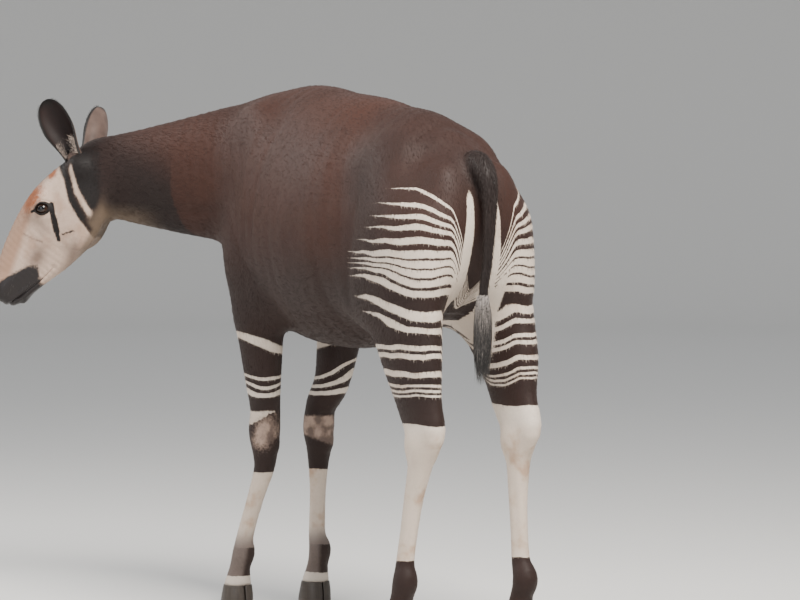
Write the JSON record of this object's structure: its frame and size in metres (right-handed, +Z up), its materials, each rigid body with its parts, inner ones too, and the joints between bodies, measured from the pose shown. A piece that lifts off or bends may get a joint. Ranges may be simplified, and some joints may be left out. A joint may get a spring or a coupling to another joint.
{
  "type": "okapi",
  "caption": "Standing female okapi, life size, with its neck stretched forward and to the left and its head low; a still figure that stands on its own hooves.",
  "frame": {"origin": "centre of the figure's box at the floor", "axes": "+X the way the body faces, +Y to the animal's left, +Z up"},
  "size_m": [1.7434, 0.8712, 1.4948],
  "materials": {
    "coat_dark": "short dark chocolate coat with a velvet sheen",
    "face_pale": "short pale grey-cream coat, rust on the forehead, black muzzle",
    "legs_striped": "short coat striped cream and black above, white below",
    "ear_dark": "short dark coat with a paler fringe in the cup",
    "tuft_hair": "long coarse grey-black hair",
    "eye": "wet, very dark brown",
    "hoof_horn": "smooth grey-black horn"
  },
  "bodies": {
    "root": {"torso": "coat_dark", "neck": "coat_dark", "head": "face_pale", "ear_left": "ear_dark", "ear_right": "ear_dark", "eye_left": "eye", "eye_right": "eye", "foreleg_left": "legs_striped", "foreleg_right": "legs_striped", "hindleg_left": "legs_striped", "hindleg_right": "legs_striped", "tail": "coat_dark", "tail_tuft": "tuft_hair", "hoof_fore_left_outer": "hoof_horn", "hoof_fore_left_inner": "hoof_horn", "hoof_fore_right_outer": "hoof_horn", "hoof_fore_right_inner": "hoof_horn", "hoof_hind_left_outer": "hoof_horn", "hoof_hind_left_inner": "hoof_horn", "hoof_hind_right_outer": "hoof_horn", "hoof_hind_right_inner": "hoof_horn"}
  },
  "joints": []
}
